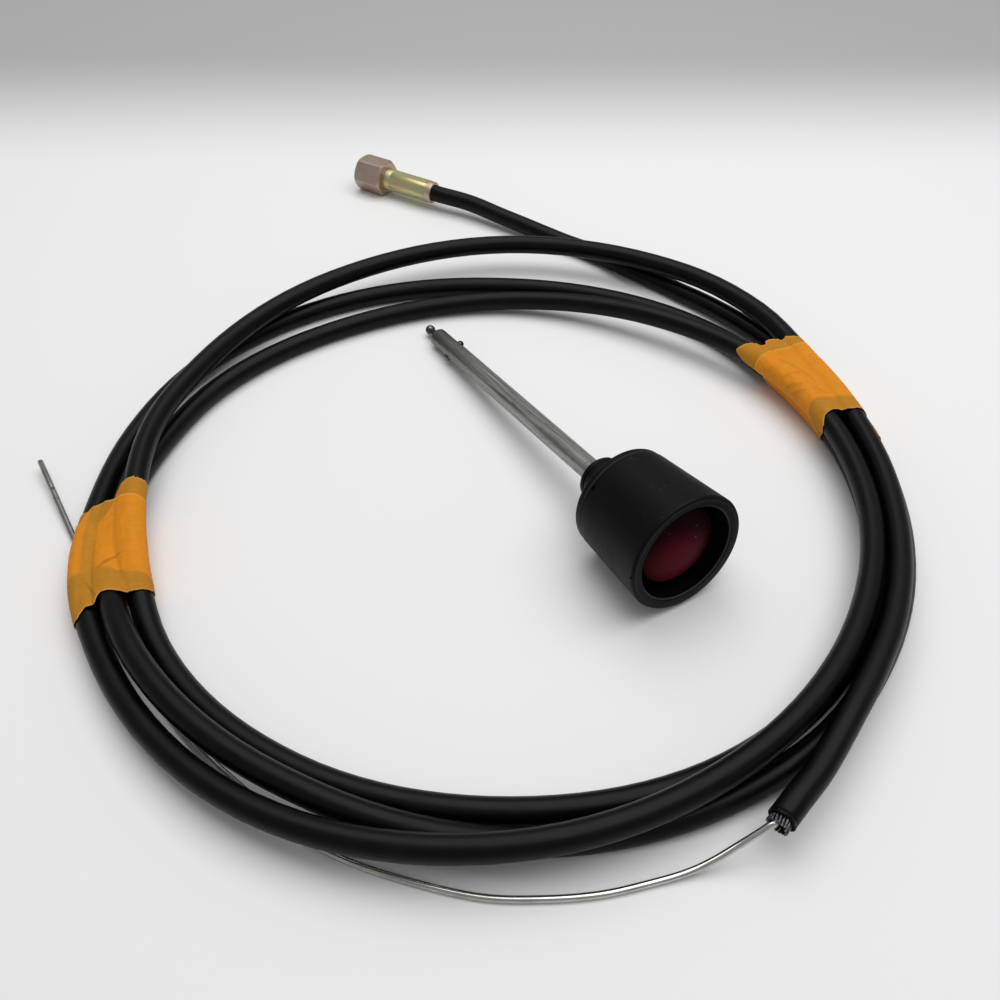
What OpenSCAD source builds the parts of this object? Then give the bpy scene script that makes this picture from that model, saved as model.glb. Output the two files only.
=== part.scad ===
// A push-button cable release: a coiled, taped length of armoured conduit with
// its bare core wire and coupling nut, and the loose locking knob that lies in
// the coil.  Millimetres, +Z up, standing on z = 0.

/* [Conduit] */
// Outside diameter of the conduit
cord_d = 8; // [7:0.1:8.2]
// Diameter of the core wire
wire_d = 2; // [1.4:0.1:2.2]
// Diameter of one armour wire
armour_wire_d = 0.85; // [0.7:0.05:0.85]
// Number of armour wires
armour_count = 18; // [12:1:18]
// Length of armour that stands out of the cut jacket
armour_out = 2.5; // [2:0.5:6]
// Length of liner that stands out of the cut jacket
liner_out = 1; // [1:0.5:4]

/* [Coupling] */
// Size of the nut across its flats
nut_flats = 15.9; // [15.4:0.1:17]
// Length of the nut
nut_len = 16; // [14:0.5:18]
// Minor diameter of the nut's thread
thread_bore = 11.6; // [11.2:0.1:12]
// Diameter of the crimp ferrule
ferrule_d = 10.8; // [10.2:0.1:11]
// Length of ferrule that shows behind the nut
ferrule_out = 29; // [24:0.5:34]

/* [Tape] */
// Thickness of the wound tape
tape_t = 0.5; // [0.3:0.1:0.6]
// Angle that each band covers on the coil
band_angle = 24; // [16:1:26]

/* [Knob] */
// Diameter of the knob body at its front
knob_d = 42; // [41:0.1:44]
// Diameter of the knob body at its rear
knob_rear_d = 38; // [36:0.1:40]
// Length of the moulded body, up to the rear cap
body_len = 31.5; // [30:0.5:33]
// Thickness of the rear cap
cap_t = 3.2; // [2.5:0.1:3.5]
// Wall round the recess, at the front
wall = 4; // [3.5:0.1:4.5]
// Depth of the recess
recess_depth = 14; // [13:0.5:15]
// Length of the neck collar
collar_len = 13.4; // [12:0.2:15]
// Diameter of the button
button_d = 27; // [26:0.2:29]
// Depth of the button's crown below the rim
crown_depth = 1.5; // [1:0.5:3]
// Height of the button's dome
dome_h = 3.2; // [2.5:0.1:4]
// Travel of the button
travel = 4; // [3:0.5:4]

/* [Shaft] */
// Outside diameter of the shaft
shaft_d = 7.94; // [7.8:0.02:8.2]
// Length of shaft that stands out of the collar
shaft_out = 118; // [90:1:130]
// Diameter of the plunger rod
rod_d = 4.2; // [4.1:0.02:4.24]
// Bore of the shaft
shaft_bore = 4.3; // [4.3:0.02:4.4]
// Diameter of a locking ball
ball_d = 3; // [2.8:0.1:3]
// Distance of the locking balls from the tip
ball_setback = 14.5; // [10:0.5:20]

/* [Hidden] */
$fn = 48;

// ---- The coil -----------------------------------------------------------
// Centre of the coil, and the direction in which its angle is zero.  The
// angle grows clockwise, seen from above.
coil_x = -1.92;
coil_y = -52.75;
zero_angle = 14.1;

// Heights of the two layers' centres.  The lower one is pressed flat by a
// tenth of its diameter, and the upper one clears it.
low = cord_d / 2 - cord_d / 10;
high = low + 8.6;
// Height of a low run that lies on tape
taped = cord_d / 2;

// The run of the conduit through the coil: angle, radius and height
run = [
    [-15, 155.5, low], [0, 147.5, taped], [15, 142.5, taped], [30, 138.5, taped], [45, 135, low],
    [75, 131, low], [90, 130, low], [105, 128, low], [135, 126, low + 0.8], [150, 126.5, 7.2],
    [165, 127.5, 9.7], [195, 132.5, 11.2], [210, 134.6, 6.9], [225, 134.6, 4],
    [240, 133.5, low], [255, 133, low], [285, 128, low], [315, 126, 4.7], [345, 122, 10.2],
    [375, 124, high], [405, 122, high], [435, 121, high], [465, 124, high], [495, 131, high],
    [525, 137.5, 9.2], [555, 140.5, 6.2], [570, 143, 6.2], [585, 143.2, 4.6], [600, 146, low],
    [615, 148.3, low], [630, 148, low], [645, 146, low], [660, 142.7, low], [675, 139.3, low],
    [705, 136.5, low], [720, 133, taped], [735, 129, taped], [750, 127, taped], [765, 125.5, low],
    [795, 122.5, low], [825, 119.5, low], [855, 117, low], [885, 120, low], [915, 125, 4],
    [930, 125.8, 8.8], [945, 129.3, 11.8], [960, 135, 12.4], [975, 139, 12.4], [1005, 152, 12],
    [1035, 160.7, 12.2], [1065, 157, 12.4], [1080, 148.8, 12.8], [1095, 137.5, 12.4],
    [1125, 130.5, high], [1155, 130, high], [1170, 132.5, high], [1185.5, 141.3, 10.4]];

ring_step = 15;
coil_from = -15;
coil_to = 1155;
coil_sides = 6;

function knot_before(t, i = 0) =
    i < len(run) - 2 && run[i + 1][0] <= t ? knot_before(t, i + 1) : i;
function slope(i, c) =
    let (a = run[max(i - 1, 0)], b = run[min(i + 1, len(run) - 1)])
    (b[c] - a[c]) / (b[0] - a[0]);

// Radius (c = 1) or height (c = 2) of the run at an angle: a smooth curve
// through the points above
function lane(t, c) =
    let (i = knot_before(t), a = run[i], b = run[i + 1], h = b[0] - a[0], f = (t - a[0]) / h)
    a[c] * (1 + 2 * f) * pow(1 - f, 2) + slope(i, c) * h * f * pow(1 - f, 2)
    + b[c] * f * f * (3 - 2 * f) + slope(i + 1, c) * h * f * f * (f - 1);

function at_angle(t, radius, height) =
    [coil_x + radius * cos(zero_angle - t), coil_y + radius * sin(zero_angle - t), height];
function run_at(t) = at_angle(t, lane(t, 1), lane(t, 2));

coil_path = [for (t = [coil_from : ring_step : coil_to]) run_at(t)];

// ---- Swept tubes --------------------------------------------------------
function unit(v) = v / norm(v);
function direction(path, i) =
    unit(path[min(i + 1, len(path) - 1)] - path[max(i - 1, 0)]);

// One ring of points round the path, a flat side down, no lower than the floor
function ring(centre, dir, d, sides, floor_z) =
    let (side = unit([dir.y, -dir.x, 0]), up = cross(side, dir), turn = sides % 4 == 0 ? 180 / sides : 0)
    [for (k = [0 : sides - 1])
        let (a = turn + 360 * k / sides, p = centre + d / 2 * (cos(a) * side + sin(a) * up))
        [p.x, p.y, max(p.z, floor_z)]];

// A tube along a path.  Its end faces are square to the directions given.
module tube(path, d, sides, from_dir, to_dir, floor_z = 0) {
    last = len(path) - 1;
    points = [for (i = [0 : last])
        let (dir = i == 0 ? from_dir : i == last ? to_dir : direction(path, i))
        each ring(path[i], dir, d, sides, floor_z)];
    walls = [for (i = [0 : last - 1], k = [0 : sides - 1])
        let (a = i * sides + k, b = i * sides + (k + 1) % sides)
        each [[a, b, b + sides], [a, b + sides, a + sides]]];
    start_cap = [for (k = [1 : sides - 2]) [0, k + 1, k]];
    tail = last * sides;
    end_cap = [for (k = [1 : sides - 2]) [tail, tail + k, tail + k + 1]];
    polyhedron(points, concat(walls, start_cap, end_cap), convexity = 10);
}

// Smooth points through hand-set ones, a few to each stretch
function smooth(p, n) =
    [for (i = [0 : len(p) - 2], k = [0 : n - 1])
        let (f = k / n, a = p[max(i - 1, 0)], b = p[i], c = p[i + 1], e = p[min(i + 2, len(p) - 1)])
        0.5 * (2 * b + (c - a) * f + (2 * a - 5 * b + 4 * c - e) * f * f
            + (3 * b - a - 3 * c + e) * f * f * f),
     p[len(p) - 1]];

// Distance of a point from a straight stretch
function from_stretch(p, a, b) =
    let (f = (p - a) * (b - a) / ((b - a) * (b - a)))
    norm(p - a - min(max(f, 0), 1) * (b - a));

// Least distance between runs of the coil that lie a quarter turn or more apart
function least_gap(path, d) =
    let (apart = 90 / ring_step, last = len(path) - 1)
    min([for (i = [0 : last - apart - 1], f = [0 : 0.25 : 0.75])
        let (p = path[i] * (1 - f) + path[i + 1] * f)
        for (j = [i + apart : last - 1]) from_stretch(p, path[j], path[j + 1])]) - d;

// ---- Free stretches of conduit and wire ---------------------------------
// Middle of the nut's rear face, and the way its open end points
nut_x = coil_x + 68.2;
nut_y = coil_y + 232.9;
nut_turn = 117.5;
nut_z = nut_flats / 2;
nut_dir = [cos(nut_turn), sin(nut_turn), 0];
mouth = [nut_x, nut_y, nut_z] - ferrule_out * nut_dir;
socket_depth = 2;

// From the ferrule down to the floor and to the coil, from the coil's centre
lead_route = [[92.5, 189.7, 7.3], [100, 173, 6.1], [106, 160, 5], [111, 148.5, 4.1], [115, 139, 3.5],
    [119, 130, low], [124, 116, low], [129, 99, low]];
coil_centre = [coil_x, coil_y, 0];
lead_path = concat(
    [mouth + socket_depth * nut_dir],
    smooth(concat([mouth - 4 * nut_dir], [for (p = lead_route) coil_centre + p], [coil_path[0]]), 2));
coil_start_dir = unit(coil_path[1] - coil_path[0]);
coil_end_dir = unit(coil_path[len(coil_path) - 1] - coil_path[len(coil_path) - 2]);

// From the coil to the cut end, which runs straight for its last stretch
cut_angle = 1185.5;
tail_end = run_at(cut_angle);
tail_dir = unit([-0.95, -0.28, -0.1]);
tail_path = concat([for (t = [coil_to : 7.5 : 1178]) run_at(t)],
    [tail_end - cord_d * tail_dir, tail_end]);

// The core wire, from the cut end over the floor and under the coil's outer
// run to its free end, from the coil's centre
wire_route = [[-6.3, -141.2, 10.2], [-9.6, -140.5, 9.5], [-15.4, -139.9, 6.5], [-22, -138.4, 3.1],
    [-28.5, -136.8, 1.3], [-38, -134.6, 1], [-52, -130, 1], [-66, -123, 1], [-79, -114.5, 1],
    [-93, -101, 1], [-104, -88, 1], [-112, -74.5, 1], [-119, -56, 1], [-125, -38, 1], [-130, -15, 1],
    [-133.5, 10, 1], [-135, 36, 1], [-135.2, 58, 1], [-135.5, 75, 1.9], [-135.8, 91.5, 3]];
wire_dir = unit([-0.02, 1, 0.065]);
tip_len = 16;
wire_path = concat([tail_end], [for (p = wire_route) coil_centre + p]);
wire_sides = 8;

module conduit_coil() {
    echo(least_gap_in_coil = least_gap(coil_path, cord_d));
    color("#232427") tube(coil_path, cord_d, coil_sides, coil_start_dir, coil_end_dir);
}

module conduit_lead() {
    color("#232427") tube(lead_path, cord_d, 8, -nut_dir, coil_start_dir);
}

module conduit_tail() {
    color("#232427") tube(tail_path, cord_d, 8, coil_end_dir, tail_dir);
}

// Turns local +Z along a direction, at a point
module along(point, dir) {
    translate(point) rotate([0, acos(dir.z), atan2(dir.y, dir.x)]) children();
}

armour_ring_r = 2.6;
armour_lay = 12;
// Each wire stands with the edge of its base on the cut
armour_lift = armour_wire_d / 2 * sin(armour_lay);
liner_play = 0.5;

module armour_wires() {
    color("#77787a")
    along(tail_end, tail_dir)
    for (k = [0 : armour_count - 1])
        rotate(360 * k / armour_count) translate([armour_ring_r, 0, armour_lift])
            rotate([armour_lay, 0, 0]) cylinder(d = armour_wire_d, h = armour_out, $fn = 16);
}

module liner_tube() {
    color("#0c0c0d")
    along(tail_end, tail_dir)
    difference() {
        cylinder(r = 2, h = liner_out);
        translate([0, 0, -1]) cylinder(r = wire_d / 2 + liner_play, h = liner_out + 2);
    }
}

module core_wire() {
    color("#b9b9b6") tube(wire_path, wire_d, wire_sides, tail_dir, wire_dir);
}

// The wire's free end, with the ring groove that a clamp grips
module core_wire_tip() {
    groove_from = 6;
    groove_w = 3;
    color("#b9b9b6")
    along(wire_path[len(wire_path) - 1], wire_dir)
    rotate_extrude()
    polygon([[0, 0], [wire_d / 2, 0], [wire_d / 2, groove_from], [wire_d / 2 - 0.25, groove_from + 0.3],
        [wire_d / 2 - 0.25, groove_from + groove_w - 0.3], [wire_d / 2, groove_from + groove_w],
        [wire_d / 2, tip_len - 0.3], [wire_d / 2 - 0.3, tip_len], [0, tip_len]]);
}

// ---- Coupling -----------------------------------------------------------
// Local +Z runs along the coupling's axis to its open end, from the nut's rear face
module on_coupling() {
    along([nut_x, nut_y, nut_z], nut_dir) children();
}

running = 0.07;
rear_wall = 4;
relief_len = 4;
relief_r = thread_bore / 2 + 0.6;
ring_groove_r = ferrule_d / 2 - 0.4;
ring_from = rear_wall + 1;
ring_t = 0.7;

module coupling_nut() {
    corner_r = nut_flats / 2 / cos(30);
    front_chamfer = 2;
    rear_chamfer = 1;
    color("#b79a8d")
    on_coupling()
    difference() {
        intersection() {
            rotate(30) cylinder(r = corner_r, h = nut_len, $fn = 6);
            rotate_extrude($fn = 64)
            polygon([[0, 0], [corner_r - 1.3, 0], [corner_r, rear_chamfer],
                [corner_r, nut_len - front_chamfer],
                [corner_r - 0.5, nut_len - 0.8 * front_chamfer / 2],
                [corner_r - 2, nut_len], [0, nut_len]]);
        }
        translate([0, 0, -1]) cylinder(r = ferrule_d / 2 + running, h = nut_len + 2, $fn = 64);
        translate([0, 0, rear_wall]) cylinder(r = relief_r, h = relief_len, $fn = 64);
        translate([0, 0, rear_wall + relief_len]) cylinder(d = thread_bore, h = nut_len, $fn = 64);
    }
}

// Crimped barrel: a round mouth, six pressed flats, a smooth journal that the
// nut turns on, a ring groove and a nose
module crimp_ferrule() {
    r = ferrule_d / 2;
    flats_from = -ferrule_out + 3;
    flats_to = -4;
    lap = 0.6;
    nose_to = rear_wall + relief_len - 0.5;
    color("#a9a56b")
    on_coupling()
    difference() {
        union() {
            rotate_extrude($fn = 64)
            polygon([[0, -ferrule_out], [r - 0.6, -ferrule_out], [r - 0.2, -ferrule_out + 0.5],
                [r - 0.15, flats_from], [r - 0.6, flats_from + lap], [0, flats_from + lap]]);
            intersection() {
                translate([0, 0, flats_from]) rotate(30)
                    cylinder(r = (r - 0.35) / cos(30), h = flats_to - flats_from, $fn = 6);
                translate([0, 0, flats_from]) cylinder(r = r, h = flats_to - flats_from, $fn = 64);
            }
            rotate_extrude($fn = 64)
            polygon([[0, flats_to - lap], [r - 0.6, flats_to - lap], [r - 0.2, flats_to], [r, flats_to + 1], [r, ring_from],
                [ring_groove_r, ring_from], [ring_groove_r, ring_from + ring_t],
                [r, ring_from + ring_t], [r, ring_from + ring_t + 0.6], [r - 0.8, ring_from + ring_t + 1.2],
                [3.6, ring_from + ring_t + 1.2], [3.6, nose_to], [0, nose_to]]);
        }
        translate([0, 0, -ferrule_out - 1]) cylinder(r = cord_d / 2 + 0.05, h = socket_depth + 1);
        translate([0, 0, -ferrule_out]) cylinder(r = wire_d / 2 + 0.25, h = ferrule_out + 20);
    }
}

module ferrule_snap_ring() {
    color("#8d8d8b")
    on_coupling()
    translate([0, 0, ring_from])
    rotate_extrude(angle = 320, $fn = 64)
    translate([ring_groove_r, 0]) square([relief_r - 0.25 - ring_groove_r, ring_t]);
}

// ---- Tape ---------------------------------------------------------------
left_from = 205;
right_from = 4;
band_steps = 4;
band_sides = 20;

// The run's place at an angle along the straight stretches between its rings,
// as radius and height
function chord_at(t) =
    let (k = floor((t - coil_from) / ring_step), f = (t - coil_from) / ring_step - k,
        p = coil_path[k] * (1 - f) + coil_path[k + 1] * f - coil_centre)
    [norm([p.x, p.y]), p.z];

// Point of a taut band round some cores, in the direction a
function taut(cores, a, r) =
    let (dir = [cos(a), sin(a)], reaches = [for (c = cores) c * dir], best = search(max(reaches), reaches)[0])
    cores[best] + r * dir;

// A band of tape pulled taut round the runs of conduit at its place
module tape_band(from, runs) {
    stations = [for (s = [0 : band_steps]) from + band_angle * s / band_steps];
    points = [for (t = stations)
        let (cores = [for (turn = [0 : runs - 1]) chord_at(t + 360 * turn)])
        for (skin = [0, 1], k = [0 : band_sides - 1])
            let (p = taut(cores, 360 * k / band_sides, cord_d / 2 + skin * tape_t))
            at_angle(t, p.x, max(p.y, (1 - skin) * tape_t))];
    n = band_sides;
    inner_faces = [for (s = [0 : band_steps - 1], k = [0 : n - 1])
        let (a = 2 * n * s + k, b = 2 * n * s + (k + 1) % n)
        each [[a, b, b + 2 * n], [a, b + 2 * n, a + 2 * n]]];
    outer_faces = [for (f = inner_faces) [f[0] + n, f[2] + n, f[1] + n]];
    start_rim = [for (k = [0 : n - 1]) let (b = (k + 1) % n) each [[k, b + n, b], [k, k + n, b + n]]];
    last = 2 * n * band_steps;
    end_rim = [for (f = start_rim) [last + f[0], last + f[2], last + f[1]]];
    polyhedron(points, concat(inner_faces, outer_faces, start_rim, end_rim), convexity = 6);
}

module tape_left() {
    color("#e8a33c") tape_band(left_from, 3);
}

module tape_right() {
    color("#e8a33c") tape_band(right_from, 4);
}

// ---- Knob ---------------------------------------------------------------
// The knob lies on the rear edge of its body and on the tip of its shaft.
// Local +Z runs from the front face to the tip.
seam = 0.5;
tip_chamfer = 1;
cap_to = body_len + cap_t;
collar_to = cap_to + collar_len;
shaft_to = collar_to + shaft_out;
body_edge = body_len - seam;
knob_tilt = atan((knob_rear_d - shaft_d) / 2 / (shaft_to - tip_chamfer - body_edge));
knob_turn = -0.2;
knob_x = coil_x + 26;
knob_y = coil_y - 62.9;
knob_z = knob_rear_d / 2 * cos(knob_tilt) + body_edge * sin(knob_tilt);

module on_knob() {
    translate([knob_x, knob_y, knob_z]) rotate(knob_turn) rotate([-90 - knob_tilt, 0, 0]) children();
}

hub_from = 20;
spring_well_r = 5.6;
// The shaft's root, which is pressed into the knob and the collar
root_r = shaft_d / 2 + 0.3;
notch_turn = -138;
nub_turn = -179;
nub_d = 1.2;

module knob_shell() {
    r = knob_d / 2;
    rear_r = knob_rear_d / 2;
    bore_r = r - wall;
    color("#2b2c2e")
    on_knob()
    difference() {
        union() {
            rotate_extrude($fn = 96)
            polygon([[root_r, hub_from], [spring_well_r, hub_from], [spring_well_r, recess_depth],
                [bore_r - 1, recess_depth], [bore_r, recess_depth - 1], [bore_r, 0.7],
                [bore_r + 0.7, 0], [r - 0.8, 0], [r - 0.25, 0.25], [r, 0.8], [rear_r, body_edge],
                [rear_r - seam, body_len], [root_r, body_len]]);
            rotate(nub_turn) translate([r - 0.2, 0, 0.9]) sphere(d = nub_d);
        }
        rotate(notch_turn) translate([rear_r - 0.6, -0.9, body_len - 1.6]) cube([2, 1.8, 3]);
    }
}

module knob_rear_cap() {
    r = knob_rear_d / 2;
    color("#2b2c2e")
    on_knob()
    rotate_extrude($fn = 96)
    polygon([[root_r, body_len], [r - seam, body_len], [r - 0.35, body_len + 0.4],
        [r - 0.4, cap_to - 0.8], [r - 0.7, cap_to - 0.2], [r - 1.3, cap_to], [root_r, cap_to]]);
}

// A ribbed sleeve, drawn in to the shaft at its end
module neck_collar() {
    base_r = 8.8;
    end_r = 8;
    rib_pitch = 3;
    rib_count = 4;
    rib_deep = 0.5;
    end_at = collar_to - 0.9;
    ribs = [for (k = [0 : rib_count - 1])
        let (q = cap_to + 1.8 + k * rib_pitch, rr = base_r - (base_r - end_r) * k / (rib_count - 1))
        each [[rr, q - 0.5], [rr - rib_deep, q - 0.2], [rr - rib_deep, q + 0.2], [rr - 0.1, q + 0.5]]];
    color("#242527")
    on_knob()
    rotate_extrude($fn = 64)
    polygon(concat([[root_r, cap_to], [base_r, cap_to]], ribs,
        [[end_r, end_at], [end_r - 0.7, collar_to], [root_r, collar_to]]));
}

ball_at = shaft_to - ball_setback;
ball_turn = -32;
ball_hole_d = ball_d + 0.16;
// The end that carries the balls is turned down a little
land_to = ball_at - 3;
lead_in = 0.2;
stop_well_r = 2.9;
stop_well_len = 5.2;
groove_turn = -142;
groove_w = 1;
groove_depth = 0.5;
keyway_w = 1.9;
keyway_len = 10;

module shaft_tube() {
    r = shaft_d / 2;
    color("#a7a6a2")
    on_knob()
    difference() {
        rotate_extrude($fn = 64)
        polygon([[0, hub_from], [root_r, hub_from], [root_r, collar_to], [r, collar_to],
            [r, land_to], [r - lead_in, land_to + lead_in], [r - lead_in, shaft_to - tip_chamfer],
            [r - 0.9, shaft_to], [0, shaft_to]]);
        translate([0, 0, hub_from - 1]) cylinder(d = shaft_bore, h = shaft_to);
        translate([0, 0, hub_from - 1]) cylinder(r = stop_well_r, h = stop_well_len + 1);
        rotate(ball_turn) translate([-r - 1, 0, ball_at]) rotate([0, 90, 0])
            cylinder(d = ball_hole_d, h = 2 * r + 2, $fn = 32);
        rotate(groove_turn) translate([r - groove_depth, -groove_w / 2, collar_to - 1])
            cube([2, groove_w, shaft_out + 2]);
        rotate(groove_turn) translate([r - groove_depth, -keyway_w / 2, shaft_to - keyway_len])
            cube([2, keyway_w, keyway_len + 1]);
    }
}

washer_t = 0.8;

module spring_washer() {
    color("#9a9a98")
    on_knob()
    translate([0, 0, hub_from - washer_t])
    difference() {
        cylinder(r = spring_well_r - 0.1, h = washer_t);
        translate([0, 0, -1]) cylinder(r = rod_d / 2 + 0.3, h = washer_t + 2);
    }
}

skirt_len = 4.2;
button_edge = crown_depth + dome_h;
button_back = button_edge + skirt_len;
boss_r = 3.4;
boss_to = button_back + 3.3;
rod_from = button_edge + 1;

// Domed cap with a boss that holds the plunger rod
module release_button() {
    r = button_d / 2;
    dome_r = (r * r + dome_h * dome_h) / 2 / dome_h;
    dome_span = asin(r / dome_r);
    dome = [for (k = [0 : 10])
        let (a = dome_span * k / 10)
        [dome_r * sin(a), crown_depth + dome_r * (1 - cos(a))]];
    color("#6d1f2c")
    on_knob()
    difference() {
        rotate_extrude($fn = 96)
        polygon(concat(dome, [[r, button_back - 0.5], [r - 0.5, button_back], [boss_r, button_back],
            [boss_r, boss_to], [0, boss_to]]));
        translate([0, 0, rod_from]) cylinder(d = rod_d, h = boss_to);
    }
}

spring_wire = 0.8;
spring_r = 4.6;
spring_curls = 5;
spring_from = button_back + spring_wire / 2;
spring_to = hub_from - washer_t - spring_wire / 2;

module button_spring() {
    rings = 8 * spring_curls;
    path = [for (k = [0 : rings])
        [spring_r * cos(360 * k / 8), spring_r * sin(360 * k / 8),
            spring_from + (spring_to - spring_from) * k / rings]];
    color("#b5b5b2")
    on_knob()
    tube(path, spring_wire, 6, [0, 1, 0], [0, 1, 0], -1);
}

nose_past = 8.8;
ramp = 0.3;
stop_ring_from = hub_from + 0.1;
stop_ring_t = 0.6;
stop_groove_r = rod_d / 2 - 0.4;

// Rod from the button to the rounded nose, with the waist that the balls drop
// into when the button is pressed
module plunger_rod() {
    r = rod_d / 2;
    waist_len = travel + 0.7;
    top_r = r - 0.06;
    neck_r = 1.5;
    nose_at = shaft_to + nose_past - r;
    color("#b3b2ae")
    on_knob()
    rotate_extrude()
    polygon(concat([[0, rod_from], [r, rod_from], [r, stop_ring_from], [stop_groove_r, stop_ring_from],
        [stop_groove_r, stop_ring_from + stop_ring_t], [r, stop_ring_from + stop_ring_t],
        [r, ball_at - waist_len - 3.4], [top_r - ramp * waist_len, ball_at - waist_len - 1.9],
        [top_r - ramp * waist_len, ball_at - waist_len], [top_r, ball_at], [r, ball_at + 0.2],
        [r, shaft_to + 0.6], [neck_r, shaft_to + 1.2], [neck_r, nose_at - r * sin(acos(neck_r / r))]],
        [for (a = [-30 : 15 : 90]) [r * cos(a), nose_at + r * sin(a)]]));
}

module stop_ring() {
    color("#8d8d8b")
    on_knob()
    translate([0, 0, stop_ring_from])
    rotate_extrude(angle = 320)
    translate([stop_groove_r, 0]) square([stop_well_r - 0.2 - stop_groove_r, stop_ring_t]);
}

module lock_ball(turn) {
    color("#c4c4c2")
    on_knob()
    rotate(turn) translate([rod_d / 2 + ball_d / 2 + 0.03, 0, ball_at]) sphere(d = ball_d);
}

module lock_ball_upper() {
    lock_ball(ball_turn);
}

module lock_ball_lower() {
    lock_ball(ball_turn + 180);
}

conduit_coil();
conduit_lead();
conduit_tail();
armour_wires();
liner_tube();
core_wire();
core_wire_tip();
crimp_ferrule();
ferrule_snap_ring();
coupling_nut();
tape_left();
tape_right();
knob_shell();
knob_rear_cap();
neck_collar();
shaft_tube();
spring_washer();
button_spring();
release_button();
plunger_rod();
stop_ring();
lock_ball_upper();
lock_ball_lower();
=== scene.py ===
# The looks of a coiled push-button cable release: an armoured conduit and its core wire, two
# bands of crepe tape, a coupling nut on its ferrule, and the loose locking knob.
import functools
import math

import bmesh
import bpy
from mathutils import Matrix, Vector, noise


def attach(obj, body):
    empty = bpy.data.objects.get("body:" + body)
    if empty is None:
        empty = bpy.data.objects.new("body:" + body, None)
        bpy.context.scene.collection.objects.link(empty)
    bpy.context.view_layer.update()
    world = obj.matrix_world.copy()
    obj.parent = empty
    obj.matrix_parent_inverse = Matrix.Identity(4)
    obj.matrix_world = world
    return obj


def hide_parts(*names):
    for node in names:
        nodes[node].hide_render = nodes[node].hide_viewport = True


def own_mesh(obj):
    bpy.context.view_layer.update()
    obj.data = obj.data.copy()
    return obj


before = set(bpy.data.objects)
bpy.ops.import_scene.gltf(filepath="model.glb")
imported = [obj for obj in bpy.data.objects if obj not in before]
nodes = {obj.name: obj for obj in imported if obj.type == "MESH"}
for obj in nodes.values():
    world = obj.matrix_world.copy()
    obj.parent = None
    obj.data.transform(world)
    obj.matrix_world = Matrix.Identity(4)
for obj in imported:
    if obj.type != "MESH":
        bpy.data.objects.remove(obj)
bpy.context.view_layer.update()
scene = bpy.context.scene
scene.view_settings.view_transform = "Standard"
MM = 0.001

# ---- Camera --------------------------------------
# It stands over the near left side of the coil and looks down across it at 44 degrees, with no
# roll.  The lens is as long as the sensor is wide, so a square frame takes in 53 degrees.
EYE = Vector((-132.98, -265.31, 250.76)) * MM
LOOK = Vector((0.3668, 0.6129, -0.6999))


def stand(name, data):
    """A new object in the scene."""
    made = bpy.data.objects.new(name, data)
    scene.collection.objects.link(made)
    return made


camera = stand("camera", bpy.data.cameras.new("camera"))
camera.data.sensor_width = camera.data.lens = 36
camera.data.clip_start = 0.01
camera.location = EYE
camera.rotation_euler = LOOK.to_track_quat("-Z", "Y").to_euler()
scene.camera = camera

# ---- Conduit -------------------------------------
# One length of 8 mm armoured conduit, extruded black PVC over a steel lay.  It leaves the
# ferrule, runs over the floor under the top turn, lies in three and a quarter turns that cross
# over each other, and ends where it was cut off with snips.
CONDUIT_R = 4.0 * MM
COIL_CENTRE = Vector((-1.92, -52.75, 0)) * MM
# Where the angles round the coil start, in degrees from the x axis
ZERO_ANGLE = 14.1
# Heights of a run's centre: on the floor, on top of another, and on the tape that goes under it
LOW, HIGH, TAPED = 3.2, 11.8, 4.0
# The solid's runs are pressed flat below, so their centres lie lower than a round tube's
ROUND_LIFT = 0.8
# The run as angle, radius and height, in degrees and mm
RUN = [
    (-15, 155.5, LOW), (0, 147.5, TAPED), (15, 142.5, TAPED), (30, 138.5, TAPED), (45, 135, LOW),
    (75, 131, LOW), (90, 130, LOW), (105, 128, LOW), (135, 126, LOW + 0.8), (150, 126.5, 7.2),
    (165, 127.5, 9.7), (195, 132.5, 11.2), (210, 134.6, 6.9), (225, 134.6, 4),
    (240, 133.5, LOW), (255, 133, LOW), (285, 128, LOW), (315, 126, 4.7), (345, 122, 10.2),
    (375, 124, HIGH), (405, 122, HIGH), (435, 121, HIGH), (465, 124, HIGH), (495, 131, HIGH),
    (525, 137.5, 9.2), (555, 140.5, 6.2), (570, 143, 6.2), (585, 143.2, 4.6), (600, 146, LOW),
    (615, 148.3, LOW), (630, 148, LOW), (645, 146, LOW), (660, 142.7, LOW), (675, 139.3, LOW),
    (705, 136.5, LOW), (720, 133, TAPED), (735, 129, TAPED), (750, 127, TAPED), (765, 125.5, LOW),
    (795, 122.5, LOW), (825, 119.5, LOW), (855, 117, LOW), (885, 120, LOW), (915, 125, 4),
    (930, 125.8, 8.8), (945, 129.3, 11.8), (960, 135, 12.4), (975, 139, 12.4), (1005, 152, 12),
    (1035, 160.7, 12.2), (1065, 157, 12.4), (1080, 148.8, 12.8), (1095, 137.5, 12.4),
    (1125, 130.5, HIGH), (1155, 130, HIGH), (1170, 132.5, HIGH), (1185.5, 141.3, 10.4)]
COIL_FROM, COIL_TO, CUT_ANGLE = -15, 1155, 1185.5


def slope(i, c):
    """How fast the run's radius (c = 1) or height (c = 2) changes at its point i."""
    a, b = RUN[max(i - 1, 0)], RUN[min(i + 1, len(RUN) - 1)]
    return (b[c] - a[c]) / (b[0] - a[0])


def lane(t, c):
    """The run's radius (c = 1) or height (c = 2) at angle t: a smooth curve through its points."""
    i = max(k for k in range(len(RUN) - 1) if k == 0 or RUN[k][0] <= t)
    a, b = RUN[i], RUN[i + 1]
    h = b[0] - a[0]
    f = (t - a[0]) / h
    return (a[c] * (1 + 2 * f) * (1 - f) ** 2 + slope(i, c) * h * f * (1 - f) ** 2
            + b[c] * f * f * (3 - 2 * f) + slope(i + 1, c) * h * f * f * (f - 1))


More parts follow.
